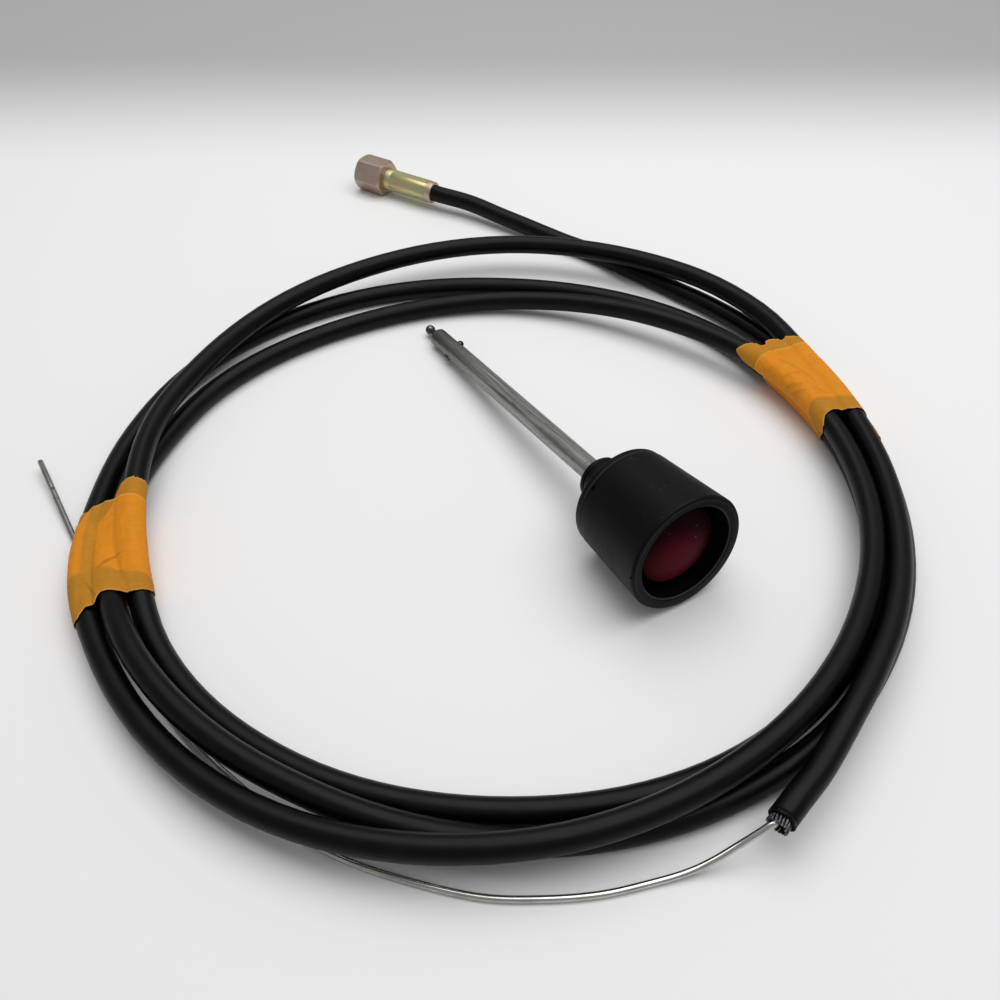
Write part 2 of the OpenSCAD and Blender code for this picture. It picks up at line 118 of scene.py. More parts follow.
def at_angle(t, radius, height):
    """A point at an angle round the coil, clockwise from above; radius and height in mm."""
    a = math.radians(ZERO_ANGLE - t)
    return COIL_CENTRE + Vector((radius * math.cos(a), radius * math.sin(a), height)) * MM


def run_at(t):
    return at_angle(t, lane(t, 1), lane(t, 2) + ROUND_LIFT)


def smooth(points, n):
    """n points for each stretch of a smooth curve through the given ones, and the last."""
    made = []
    for i in range(len(points) - 1):
        a, b = points[max(i - 1, 0)], points[i]
        c, e = points[i + 1], points[min(i + 2, len(points) - 1)]
        for k in range(n):
            f = k / n
            made.append(0.5 * (2 * b + (c - a) * f + (2 * a - 5 * b + 4 * c - e) * f ** 2
                               + (3 * b - a - 3 * c + e) * f ** 3))
    return made + [points[-1]]


NUT_DIR = Vector((-0.46175, 0.88701, 0))
NUT_REAR = COIL_CENTRE + Vector((68.2, 232.9, 7.95)) * MM
FERRULE_BEHIND, SOCKET_DEPTH, LEAD_STRAIGHT, TAIL_STRAIGHT = 29 * MM, 2 * MM, 4 * MM, 8 * MM
MOUTH = NUT_REAR - FERRULE_BEHIND * NUT_DIR
LEAD_ROUTE = [(92.5, 189.7, 7.3), (100, 173, 6.1), (106, 160, 5.2), (111, 148.5, 4.5),
              (115, 139, 4.1), (119, 130, 4), (124, 116, 4), (129, 99, 4)]
lead = [MOUTH + SOCKET_DEPTH * NUT_DIR, MOUTH - LEAD_STRAIGHT * NUT_DIR]
lead += [COIL_CENTRE + Vector(p) * MM for p in LEAD_ROUTE]

TAIL_END = run_at(CUT_ANGLE)
TAIL_DIR = Vector((-0.95, -0.28, -0.1)).normalized()
RING_STEP = 3
coil = [run_at(t) for t in range(COIL_FROM, COIL_TO + RING_STEP, RING_STEP)]
tail = smooth([run_at(t) for t in (1152, 1155, 1162.5, 1170, 1177.5)]
              + [TAIL_END + k * TAIL_STRAIGHT * TAIL_DIR for k in (-1, 0, 1)], 4)[5:-4]
conduit_route = smooth(lead + [coil[0], coil[5]], 4)[:-4] + coil[1:] + tail


def colour(hexed):
    """An sRGB hex colour as the linear one that a shader takes."""
    parts = [int(hexed[i:i + 2], 16) / 255 for i in (1, 3, 5)]
    return (*[c / 12.92 if c <= 0.04045 else ((c + 0.055) / 1.055) ** 2.4 for c in parts], 1)


def put(tree, kind, sockets=None, **settings):
    """Adds a node with its settings.  A socket takes a value, or a link from another node's
    output; a node alone stands for its first output."""
    made = tree.nodes.new(kind)
    for name, value in settings.items():
        setattr(made, name, value)
    for name, value in (sockets or {}).items():
        if isinstance(value, bpy.types.Node):
            value = value.outputs[0]
        if isinstance(value, bpy.types.NodeSocket):
            tree.links.new(value, made.inputs[name])
        else:
            made.inputs[name].default_value = value
    return made


def surface(name):
    """A new material and its empty tree."""
    made = bpy.data.materials.new(name)
    made.use_nodes = True
    made.node_tree.nodes.clear()
    return made, made.node_tree


def tube_mesh(name, points, radius, sides, neck=None, along=0.0):
    """A round tube along a path, with its own map: along it and round it, in metres.  A neck
    gives the radius at each point, where it isn't the same all along."""
    verts, uvs, faces = [], [], []
    up = Vector((0, 0, 1))
    for i, p in enumerate(points):
        ahead = (points[min(i + 1, len(points) - 1)] - points[max(i - 1, 0)]).normalized()
        side = ahead.cross(up).normalized()
        up = side.cross(ahead)
        along += (p - points[i - 1]).length if i else 0
        r = neck[i] if neck else radius
        for k in range(sides):
            a = 2 * math.pi * k / sides
            verts.append(p + r * (math.cos(a) * side + math.sin(a) * up))
            uvs.append((along, radius * a))
    for i in range(len(points) - 1):
        for k in range(sides):
            a, b = i * sides + k, i * sides + (k + 1) % sides
            faces.append((a, b, b + sides, a + sides))
    wall_faces = len(faces)
    last = (len(points) - 1) * sides
    faces += [tuple(range(sides))[::-1], tuple(range(last, last + sides))]
    mesh = bpy.data.meshes.new(name)
    mesh.from_pydata(verts, [], faces)
    layer = mesh.uv_layers.new(name="map")
    girth = 2 * math.pi * radius
    for n, face in enumerate(mesh.polygons):
        face.use_smooth = n < wall_faces
        for corner in face.loop_indices:
            v = mesh.loops[corner].vertex_index
            u, w = uvs[v]
            if n < wall_faces and v % sides == 0 and corner - face.loop_start in (1, 2):
                w = girth
            layer.data[corner].uv = (u, w)
    mesh.update()
    return mesh


def piece(name, mesh, finish, body):
    """A finished piece with its material, on its body."""
    made = stand(name, mesh)
    mesh.materials.clear()
    mesh.materials.append(finish)
    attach(made, body)
    return made


# Extruded black PVC: a satin skin with faint die lines along it, and a little pale dust
pvc, tree = surface("extruded_black_pvc")
where = put(tree, "ShaderNodeTexCoord").outputs["UV"]
# Die lines 0.7 mm apart round the conduit and 90 mm long
stretched = put(tree, "ShaderNodeMapping", {"Vector": where, "Scale": (11, 1400, 1)})
lines = put(tree, "ShaderNodeTexNoise", {"Vector": stretched, "Scale": 1.0, "Detail": 3.0})
# Handling marks 8 mm across
patches = put(tree, "ShaderNodeTexNoise", {"Vector": where, "Scale": 120.0, "Detail": 5.0})
# Dust specks about 0.5 mm across
specks = put(tree, "ShaderNodeTexNoise", {"Vector": where, "Scale": 1400.0, "Detail": 2.0})
dusty = put(tree, "ShaderNodeMapRange", {"Value": specks, "From Min": 0.68, "From Max": 0.76})
hazy = put(tree, "ShaderNodeMapRange", {
    "Value": patches, "From Min": 0.45, "From Max": 0.75, "To Max": 0.25})
dust = put(tree, "ShaderNodeMath", {0: dusty, 1: 0.35}, operation="MULTIPLY")
veil = put(tree, "ShaderNodeMath", {0: dust, 1: hazy}, operation="MAXIMUM")
skin = put(tree, "ShaderNodeMix", {0: veil, 6: colour("#030304"), 7: colour("#131314")},
           data_type="RGBA")
gloss = put(tree, "ShaderNodeMapRange", {
    "Value": patches, "From Min": 0.3, "From Max": 0.7, "To Min": 0.33, "To Max": 0.43})
relief = put(tree, "ShaderNodeBump", {"Height": lines, "Strength": 0.25, "Distance": 0.00006})
body = put(tree, "ShaderNodeBsdfPrincipled", {
    "Base Color": skin.outputs[2], "Roughness": gloss, "Normal": relief, "IOR": 1.53,
    "Specular IOR Level": 0.13})
put(tree, "ShaderNodeOutputMaterial", {"Surface": body})


def length_of(points):
    return sum((b - a).length for a, b in zip(points, points[1:]))


mesh = tube_mesh("conduit", conduit_route, CONDUIT_R, 28)
conduit = piece("conduit", mesh, pvc, "cable")
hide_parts("conduit_coil", "conduit_lead", "conduit_tail")

# ---- Core wire -----------------------------------
# A bare 2 mm drawn steel wire.  It leaves the cut conduit, drops to the floor, and follows the
# coil round under its outer turn to its own free end, which has a ring groove.
WIRE_R = 1.0 * MM
WIRE_ROUTE = [(-6.3, -140.9, 11), (-10, -140.4, 9.1), (-15.6, -139.5, 6.3), (-22.3, -138.6, 3.8),
              (-29, -137.2, 1.9), (-38, -134.6, 1.1), (-52, -130, 1), (-66, -123, 1),
              (-79, -114.5, 1), (-93, -101, 1), (-104, -88, 1), (-112, -74.5, 1), (-119, -56, 1),
              (-125, -38, 1), (-130, -15, 1), (-133.5, 10, 1), (-135, 36, 1), (-135.2, 58, 1),
              (-135.5, 75, 1.9), (-135.8, 91.5, 3)]
wire_route = smooth([TAIL_END] + [COIL_CENTRE + Vector(p) * MM for p in WIRE_ROUTE], 6)

steel, tree = surface("drawn_steel_wire")
# Drawn steel is bright where grease kept it, near the cut, and dulls with age further along
pattern = put(tree, "ShaderNodeTexCoord")
# Bloom 6 mm across
bloom = put(tree, "ShaderNodeTexNoise", {
    "Vector": pattern.outputs["Object"], "Scale": 160.0, "Detail": 4.0})
spread = put(tree, "ShaderNodeMapRange", {
    "Value": bloom, "From Min": 0.35, "From Max": 0.7, "To Max": 0.35})
run = put(tree, "ShaderNodeSeparateXYZ", {0: pattern.outputs["UV"]})
aged = put(tree, "ShaderNodeMapRange", {
    "Value": run, "From Min": 0.05, "From Max": 0.2, "To Max": 0.65})
dulled = put(tree, "ShaderNodeMath", {0: spread, 1: aged}, operation="ADD")
metal = put(tree, "ShaderNodeMix", {0: dulled, 6: colour("#C8C6C0"), 7: colour("#76746F")},
            data_type="RGBA")
rough = put(tree, "ShaderNodeMapRange", {"Value": dulled, "To Min": 0.12, "To Max": 0.5})
body = put(tree, "ShaderNodeBsdfPrincipled", {
    "Base Color": metal.outputs[2], "Metallic": 1.0, "Roughness": rough})
put(tree, "ShaderNodeOutputMaterial", {"Surface": body})

core = piece("core_wire_run", tube_mesh("core_wire_run", wire_route, WIRE_R, 16), steel, "cable")
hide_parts("core_wire")

# ---- Floor and lights ----------------------------
# A pale sweep of painted board, whose colour greys far behind the coil as painted shade for a
# dimmer backdrop, and soft light from overhead.
# Half the floor's width, and how far behind the middle the painted shade starts and stops, in
# metres
FLOOR_REACH, SWEEP_FROM, SWEEP_TO = 6.0, 0.21, 0.385
floor_mesh = bpy.data.meshes.new("floor")
floor_mesh.from_pydata([(x * FLOOR_REACH, y * FLOOR_REACH, 0) for x, y in
                        ((-1, -1), (1, -1), (1, 1), (-1, 1))], [], [(0, 1, 2, 3)])
floor = stand("floor", floor_mesh)
board, tree = surface("pale_board")
where = put(tree, "ShaderNodeTexCoord").outputs["Object"]
away = Vector((LOOK.x, LOOK.y, 0)).normalized()
depth = put(tree, "ShaderNodeVectorMath", {0: where, 1: away}, operation="DOT_PRODUCT")
# Painted shade: the board's colour greys toward the back, standing in for a backdrop in dimmer
# light
backdrop_shade = put(tree, "ShaderNodeMapRange", {
    "Value": depth.outputs["Value"], "From Min": SWEEP_FROM, "From Max": SWEEP_TO},
    interpolation_type="SMOOTHSTEP")
tint = put(tree, "ShaderNodeMix", {0: backdrop_shade, 6: colour("#EBEBEB"), 7: colour("#AEAEAE")},
           data_type="RGBA")
body = put(tree, "ShaderNodeBsdfPrincipled", {
    "Base Color": tint.outputs[2], "Roughness": 0.6, "Specular IOR Level": 0.2})
put(tree, "ShaderNodeOutputMaterial", {"Surface": body})
floor.data.materials.append(board)

scene.world = bpy.data.worlds.new("room")
scene.world.use_nodes = True
tree = scene.world.node_tree
tree.nodes.clear()
sky = put(tree, "ShaderNodeBackground", {"Color": (1, 1, 1, 1), "Strength": 0.36})
put(tree, "ShaderNodeOutputWorld", {"Surface": sky})

# The softbox: its size, height, and place behind and to the right of the middle, in metres
BOX_WIDE, BOX_DEEP, BOX_HIGH, BOX_BEHIND, BOX_RIGHT = 1.5, 1.1, 1.05, 0.18, 0.15
lamp = stand("overhead", bpy.data.lights.new("overhead", "AREA"))
lamp.data.shape = "RECTANGLE"
lamp.data.size = BOX_WIDE
lamp.data.size_y = BOX_DEEP
lamp.data.energy = 11.8
to_right = Vector((away.y, -away.x, 0))
lamp.location = Vector((0, 0, BOX_HIGH)) + BOX_BEHIND * away + BOX_RIGHT * to_right
lamp.rotation_euler = (-lamp.location).to_track_quat("-Z", "Y").to_euler()

# ---- Cut end -------------------------------------
# Snips left the conduit's end open.  The jacket is torn ragged round the cut, and the steel
# armour wires stand out of it, laid with a slight twist, round the black liner.
CUT = Matrix.Translation(TAIL_END) @ TAIL_DIR.to_track_quat("Z", "Y").to_matrix().to_4x4()
LIP_SIDES = 96
LIP_BORE, LIP_ROOT = 3.25 * MM, 0.6 * MM


def torn(k):
    """How far the torn edge reaches past the cut at side k, in metres."""
    a = 2 * math.pi * k / LIP_SIDES
    place = Vector((math.cos(a), math.sin(a), 0))
    return (0.4 + 0.6 * noise.noise(4 * place) + 0.6 * noise.noise(13 * place)) * MM


verts, faces = [], []
for k in range(LIP_SIDES):
    a = 2 * math.pi * k / LIP_SIDES
    out = Vector((math.cos(a), math.sin(a), 0))
    edge = max(torn(k), 0.05 * MM)
    frayed = 0.2 * noise.noise(11 * out) * MM
    lip = ((CONDUIT_R + 0.01 * MM, -LIP_ROOT), (CONDUIT_R + 0.03 * MM + frayed, edge * 0.6),
           (CONDUIT_R - 0.2 * MM + frayed, edge), (LIP_BORE + 0.15 * MM, edge * 0.7),
           (LIP_BORE, -LIP_ROOT))
    verts += [CUT @ (reach * out + Vector((0, 0, height))) for reach, height in lip]
for k in range(LIP_SIDES):
    here, beyond = len(lip) * k, len(lip) * ((k + 1) % LIP_SIDES)
    for j in range(len(lip)):
        j2 = (j + 1) % len(lip)
        faces.append((here + j, beyond + j, beyond + j2, here + j2))
mesh = bpy.data.meshes.new("jacket_lip")
mesh.from_pydata(verts, [], faces)
mesh.shade_smooth()
piece("jacket_lip", mesh, pvc, "cable")

armour_steel, tree = surface("galvanised_armour_wire")
# Hot-dipped steel wire, weathered: dull grey, with bright places where the snips rubbed it
where = put(tree, "ShaderNodeTexCoord").outputs["Object"]
# Bloom 0.8 mm across
bloom = put(tree, "ShaderNodeTexNoise", {"Vector": where, "Scale": 1200.0, "Detail": 3.0})
tone = put(tree, "ShaderNodeMapRange", {"Value": bloom, "From Min": 0.4, "From Max": 0.65})
metal = put(tree, "ShaderNodeMix", {0: tone, 6: colour("#606063"), 7: colour("#222224")},
            data_type="RGBA")
body = put(tree, "ShaderNodeBsdfPrincipled", {
    "Base Color": metal.outputs[2], "Metallic": 0.9, "Roughness": 0.3})
put(tree, "ShaderNodeOutputMaterial", {"Surface": body})


def shaping(name, **sizes):
    """A new Geometry Nodes tree with its sizes as named inputs, and the sockets that give them."""
    tree = bpy.data.node_groups.new(name, "GeometryNodeTree")
    for label, value in sizes.items():
        kind = "NodeSocketInt" if isinstance(value, int) else "NodeSocketFloat"
        tree.interface.new_socket(label, in_out="INPUT", socket_type=kind).default_value = value
    tree.interface.new_socket("Geometry", in_out="OUTPUT", socket_type="NodeSocketGeometry")
    return tree, put(tree, "NodeGroupInput").outputs


def grown(name, tree, place, **sizes):
    """The mesh that a tree makes with these sizes, put in its place."""
    holder = stand(name, bpy.data.meshes.new(name))
    maker = holder.modifiers.new("maker", "NODES")
    maker.node_group = tree
    for item in tree.interface.items_tree:
        if item.in_out == "INPUT" and item.name in sizes:
            maker[item.identifier] = sizes[item.name]
    seen = bpy.context.evaluated_depsgraph_get()
    made = bpy.data.meshes.new_from_object(holder.evaluated_get(seen))
    bpy.data.objects.remove(holder)
    made.name = name
    made.transform(place)
    return made


# One wire leans on the ring by its lay; the ring turns a copy of it to each place, and each
# copy is cut a little longer or shorter
strands, given = shaping("armour_strands", count=18, ring_radius=2.78 * MM, wire_radius=0.42 * MM,
                         length=3.0 * MM, lay=math.radians(12), seed=4)
wire = put(strands, "GeometryNodeMeshCylinder", {
    "Vertices": 12, "Radius": given["wire_radius"], "Depth": given["length"]})
half = put(strands, "ShaderNodeMath", {0: given["length"], 1: 0.5}, operation="MULTIPLY")
foot = put(strands, "ShaderNodeCombineXYZ", {"Z": half})
raised = put(strands, "GeometryNodeTransform", {"Geometry": wire, "Translation": foot})
lean = put(strands, "ShaderNodeCombineXYZ", {"X": given["lay"]})
ring_place = put(strands, "ShaderNodeCombineXYZ", {"X": given["ring_radius"]})
leant = put(strands, "GeometryNodeTransform", {
    "Geometry": raised, "Translation": ring_place, "Rotation": lean})
places = put(strands, "GeometryNodePoints", {"Count": given["count"], "Radius": 0.001})
share = put(strands, "ShaderNodeMath", {
    0: put(strands, "GeometryNodeInputIndex"), 1: given["count"]}, operation="DIVIDE")
turn = put(strands, "ShaderNodeMath", {0: share, 1: 2 * math.pi}, operation="MULTIPLY")
turned = put(strands, "ShaderNodeCombineXYZ", {"Z": turn})
trim = put(strands, "FunctionNodeRandomValue", {2: 0.8, 3: 1.0, "Seed": given["seed"]})
trimmed = put(strands, "ShaderNodeCombineXYZ", {"X": 1.0, "Y": 1.0, "Z": trim.outputs[1]})
laid = put(strands, "GeometryNodeInstanceOnPoints", {
    "Points": places, "Instance": leant, "Rotation": turned, "Scale": trimmed})
real = put(strands, "GeometryNodeRealizeInstances", {"Geometry": laid})
clad = put(strands, "GeometryNodeSetMaterial", {"Geometry": real, "Material": armour_steel})
put(strands, "NodeGroupOutput", {0: clad})
mesh = grown("armour_strands", strands, CUT, count=18)
armour = piece("armour_strands", mesh, armour_steel, "cable")
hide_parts("armour_wires")


def from_node(name, node, finish, body, bevel=0.0, sharp=32):
    """A merged copy of a solid in its place, smooth between its edges, which may be rounded.
    An edge turns by more than sharp degrees."""
    mesh = nodes[node].data.copy()
    shape = bmesh.new()
    shape.from_mesh(mesh)
    bmesh.ops.remove_doubles(shape, verts=shape.verts, dist=0.002 * MM)
    bmesh.ops.dissolve_limit(shape, angle_limit=math.radians(0.5), verts=shape.verts,
                             edges=shape.edges)
    for face in shape.faces:
        face.smooth = True
    for edge in shape.edges:
        edge.smooth = bool(bevel) or edge.calc_face_angle(0) < math.radians(sharp)
    shape.to_mesh(mesh)
    shape.free()
    made = piece(name, mesh, finish, body)
    if bevel:
        round_off = made.modifiers.new("round_off", "BEVEL")
        round_off.width = bevel
        round_off.segments = 2
        round_off.limit_method = "ANGLE"
        round_off.angle_limit = math.radians(sharp)
        round_off.harden_normals = True
    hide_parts(node)
    return made


from_node("liner", "liner_tube", pvc, "cable", 0.08 * MM)

# The wire's tip is straight and cut square.  Its ring groove is turned where it meets the wire
TIP_DIR = Vector((-0.01995, 0.9977, 0.06485)).normalized()
# Each point's distance along the tip and its radius, in mm
TIP_PROFILE = [(0, 1), (0.25, 1), (0.35, 0.74), (0.9, 0.74), (1, 0.95), (1.25, 0.95), (1.35, 0.74),
               (1.8, 0.74), (1.9, 1), (2.1, 1), (15.8, 1), (15.9, 0.97), (16, 0.88)]
mesh = tube_mesh("core_wire_end", [wire_route[-1] + d * MM * TIP_DIR for d, r in TIP_PROFILE],
                 WIRE_R, 24, neck=[r * MM for d, r in TIP_PROFILE], along=length_of(wire_route))
core_end = piece("core_wire_end", mesh, steel, "cable")
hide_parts("core_wire_tip")

# ---- Ferrule -------------------------------------
# A turned steel barrel, pressed onto the conduit by a six-jaw crimp and zinc plated with a
# yellow film.  A spring steel snap ring in its groove keeps the nut on.
COUPLING = Matrix.Translation(NUT_REAR) @ NUT_DIR.to_track_quat("Z", "Y").to_matrix().to_4x4()
ON_COUPLING = {"Location": COUPLING.to_translation(), "Rotation": COUPLING.to_euler()}

yellow_zinc, tree = surface("yellow_passivated_zinc")
# The thin film drifts from straw to green and pink, over a satin metal
where = put(tree, "ShaderNodeTexCoord").outputs["Object"]
# Drifts of colour 3 mm across and 12 mm long
on_ferrule = put(tree, "ShaderNodeMapping", {"Vector": where, **ON_COUPLING}, vector_type="TEXTURE")
drift_run = put(tree, "ShaderNodeMapping", {"Vector": on_ferrule, "Scale": (330, 330, 85)})
drift = put(tree, "ShaderNodeTexNoise", {
    "Vector": drift_run, "Scale": 1.0, "Detail": 2.0, "Distortion": 0.5})
film = put(tree, "ShaderNodeValToRGB", {"Fac": drift})
film.color_ramp.elements[0].color = colour("#B49A8C")
film.color_ramp.elements[1].color = colour("#B08C80")
for place, tint in ((0.38, "#BEB48E"), (0.47, "#ABB985"), (0.53, "#C6BD7B"), (0.62, "#BFA686")):
    film.color_ramp.elements.new(place).color = colour(tint)
# Toward its mouth the film turns pink
along = put(tree, "ShaderNodeSeparateXYZ", {0: on_ferrule})
near_mouth = put(tree, "ShaderNodeMapRange", {
    "Value": along.outputs[2], "From Min": -23 * MM, "From Max": -28 * MM, "To Max": 0.75})
filmed = put(tree, "ShaderNodeMix", {0: near_mouth, 6: film, 7: colour("#B79C96")},
             data_type="RGBA")
# Tool marks 0.5 mm apart, drawn coarser than the real ones so that they show
marks = put(tree, "ShaderNodeTexNoise", {"Vector": where, "Scale": 2000.0, "Detail": 2.0})
rough = put(tree, "ShaderNodeMapRange", {
    "Value": marks, "From Min": 0.3, "From Max": 0.7, "To Min": 0.34, "To Max": 0.46})
body = put(tree, "ShaderNodeBsdfPrincipled", {
    "Base Color": filmed.outputs[2], "Metallic": 0.85, "Roughness": rough})
put(tree, "ShaderNodeOutputMaterial", {"Surface": body})
from_node("ferrule", "crimp_ferrule", yellow_zinc, "cable", 0.12 * MM)

spring_steel, tree = surface("oiled_spring_steel")
# Hardened and oiled strip is dark, with a bluish bloom
where = put(tree, "ShaderNodeTexCoord").outputs["Object"]
# Bloom 2 mm across
bloom = put(tree, "ShaderNodeTexNoise", {"Vector": where, "Scale": 500.0, "Detail": 2.0})
metal = put(tree, "ShaderNodeMix", {0: bloom, 6: colour("#6E6E70"), 7: colour("#9A9A9C")},
            data_type="RGBA")
body = put(tree, "ShaderNodeBsdfPrincipled", {
    "Base Color": metal.outputs[2], "Metallic": 1.0, "Roughness": 0.3})
put(tree, "ShaderNodeOutputMaterial", {"Surface": body})
from_node("snap_ring", "ferrule_snap_ring", spring_steel, "cable")

# ---- Coupling nut --------------------------------
# A 16 mm hexagon nut, milled from bar and tumbled, so that its corners are soft, and zinc plated
# with a pink-brown film.  Its thread starts behind the relief that holds the snap ring.
pink_zinc, tree = surface("pink_passivated_zinc")
# Pink brown with a greyer, rubbed look in patches and small pale knocks
where = put(tree, "ShaderNodeTexCoord").outputs["Object"]
# Rubbed patches 3 mm across
patches = put(tree, "ShaderNodeTexNoise", {"Vector": where, "Scale": 330.0, "Detail": 4.0})
rubbed = put(tree, "ShaderNodeMapRange", {"Value": patches, "From Min": 0.42, "From Max": 0.62})
# Knocks 0.4 mm across
knocks = put(tree, "ShaderNodeTexNoise", {"Vector": where, "Scale": 2400.0, "Detail": 1.0})
chips = put(tree, "ShaderNodeMapRange", {
    "Value": knocks, "From Min": 0.66, "From Max": 0.72, "To Max": 0.5})
film = put(tree, "ShaderNodeMix", {0: rubbed, 6: colour("#B59A88"), 7: colour("#ADA096")},
           data_type="RGBA")
# Its open end is yellower
on_nut = put(tree, "ShaderNodeMapping", {"Vector": where, **ON_COUPLING}, vector_type="TEXTURE")
along = put(tree, "ShaderNodeSeparateXYZ", {0: on_nut})
near_end = put(tree, "ShaderNodeMapRange", {
    "Value": along.outputs[2], "From Min": 11 * MM, "From Max": 16 * MM, "To Max": 0.6})
yellowed = put(tree, "ShaderNodeMix", {0: near_end, 6: film.outputs[2], 7: colour("#A9A282")},
               data_type="RGBA")
metal = put(tree, "ShaderNodeMix", {0: chips, 6: yellowed.outputs[2], 7: colour("#CDBFB0")},
            data_type="RGBA")
rough = put(tree, "ShaderNodeMapRange", {
    "Value": patches, "From Min": 0.3, "From Max": 0.7, "To Min": 0.34, "To Max": 0.5})
body = put(tree, "ShaderNodeBsdfPrincipled", {
    "Base Color": metal.outputs[2], "Metallic": 0.85, "Roughness": rough})
put(tree, "ShaderNodeOutputMaterial", {"Surface": body})
from_node("nut", "coupling_nut", pink_zinc, "nut", 0.6 * MM)

# The thread's crest: a three-cornered ridge on a helix
THREAD_FROM, THREAD_TO, THREAD_PITCH = 8.6 * MM, 15.1 * MM, 1.25 * MM
helix, given = shaping("helix_of_wire", turns=5.0, radius=5.8 * MM, height=6.5 * MM,
                       wire_radius=0.3 * MM, sides=3, steps=40)
coils = put(helix, "GeometryNodeCurveSpiral", {
    "Resolution": given["steps"], "Rotations": given["turns"], "Start Radius": given["radius"],
    "End Radius": given["radius"], "Height": given["height"]})
upright = put(helix, "GeometryNodeSetCurveNormal", {"Curve": coils}, mode="Z_UP")
profile = put(helix, "GeometryNodeCurvePrimitiveCircle", {
    "Resolution": given["sides"], "Radius": given["wire_radius"]})
swept = put(helix, "GeometryNodeCurveToMesh", {
    "Curve": upright, "Profile Curve": profile, "Fill Caps": True})
real = put(helix, "GeometryNodeRealizeInstances", {"Geometry": swept})
clad = put(helix, "GeometryNodeSetMaterial", {"Geometry": real, "Material": pink_zinc})
put(helix, "NodeGroupOutput", {0: clad})
mesh = grown("nut_thread", helix, COUPLING @ Matrix.Translation((0, 0, THREAD_FROM)),
             turns=(THREAD_TO - THREAD_FROM) / THREAD_PITCH, height=THREAD_TO - THREAD_FROM)
piece("nut_thread", mesh, pink_zinc, "nut")

# ---- Tape ----------------------------------------
# Two bands of 45 mm crepe masking tape hold the turns together.  Each goes twice round them,
# the second time a little further along, so a strip of single tape shows at each edge.
TAPE_T = 0.16 * MM
TAPE_STEPS_ROUND, TAPE_STEPS_ALONG, OUTLINE_STEPS = 200, 56, 720
# An outline starts low on its outer side.  Four are made to a degree; the tape lies between two
OUTLINE_START, OUTLINES_PER_DEGREE = -30, 4
# The runs' radius, the taped turns' own, how far one degree goes along them, and how deep the
# tape sags at most, in mm
TURN_R, TAPED_R, MM_PER_DEGREE, SAG_DEEPEST = CONDUIT_R / MM, 135, 2.36, 1.0

# Crepe paper: orange and matt, darker where one layer lies on the black conduit, with painted
# shade over the gaps between turns, in the folds and on fine wrinkles along its length
crepe, tree = surface("crepe_paper_tape")
where = put(tree, "ShaderNodeTexCoord").outputs["UV"]
# This attribute holds single tape over the black conduit, and painted shade over the gaps between
# turns
layers = put(tree, "ShaderNodeAttribute", attribute_name="single_layer_and_gap_shade")
# Wrinkles 0.8 mm apart across the tape and 3 mm long
ridged = put(tree, "ShaderNodeMapping", {"Vector": where, "Scale": (330, 1250, 1)})
ridges = put(tree, "ShaderNodeTexNoise", {
    "Vector": ridged, "Scale": 1.0, "Detail": 4.0, "Roughness": 0.65, "Distortion": 1.5})
# Blotches of adhesive 5 mm across
blotches = put(tree, "ShaderNodeTexNoise", {"Vector": where, "Scale": 200.0, "Detail": 4.0})
spread = put(tree, "ShaderNodeMapRange", {
    "Value": blotches, "From Min": 0.35, "From Max": 0.7, "To Min": -0.16, "To Max": 0.2})
single_and_shaded = put(tree, "ShaderNodeMath", {0: layers.outputs["Fac"], 1: spread},
           operation="ADD", use_clamp=True)
paper = put(tree, "ShaderNodeMix", {0: single_and_shaded, 6: colour("#D98614"), 7: colour("#B27819")},
            data_type="RGBA")
# The cut edges are paler, and painted shade darkens the insides of folds
cut_edge = put(tree, "ShaderNodeAttribute", attribute_name="cut_edge")
edged = put(tree, "ShaderNodeMix", {
    0: cut_edge.outputs["Fac"], 6: paper.outputs[2], 7: colour("#D99E4C")}, data_type="RGBA")
fold_shade = put(tree, "ShaderNodeAttribute", attribute_name="fold_shade")
fold_shaded = put(tree, "ShaderNodeMix", {
    0: fold_shade.outputs["Fac"], 6: edged.outputs[2], 7: colour("#7A4312")}, data_type="RGBA")
# Painted shade and highlight: the colour is darkened and lightened with the wrinkles' height, over
# and above their bump
shade = put(tree, "ShaderNodeMapRange", {
    "Value": ridges, "From Min": 0.35, "From Max": 0.65, "To Min": 0.93, "To Max": 1.04})
wrinkle_shaded = put(tree, "ShaderNodeMix", {0: 1.0, 6: fold_shaded.outputs[2], 7: shade},
             data_type="RGBA", blend_type="MULTIPLY")
relief = put(tree, "ShaderNodeBump", {"Height": ridges, "Strength": 0.55, "Distance": 0.0001})
body = put(tree, "ShaderNodeBsdfPrincipled", {
    "Base Color": wrinkle_shaded.outputs[2], "Roughness": 0.72, "Normal": relief, "IOR": 1.45,
    "Specular IOR Level": 0.25})
put(tree, "ShaderNodeOutputMaterial", {"Surface": body})


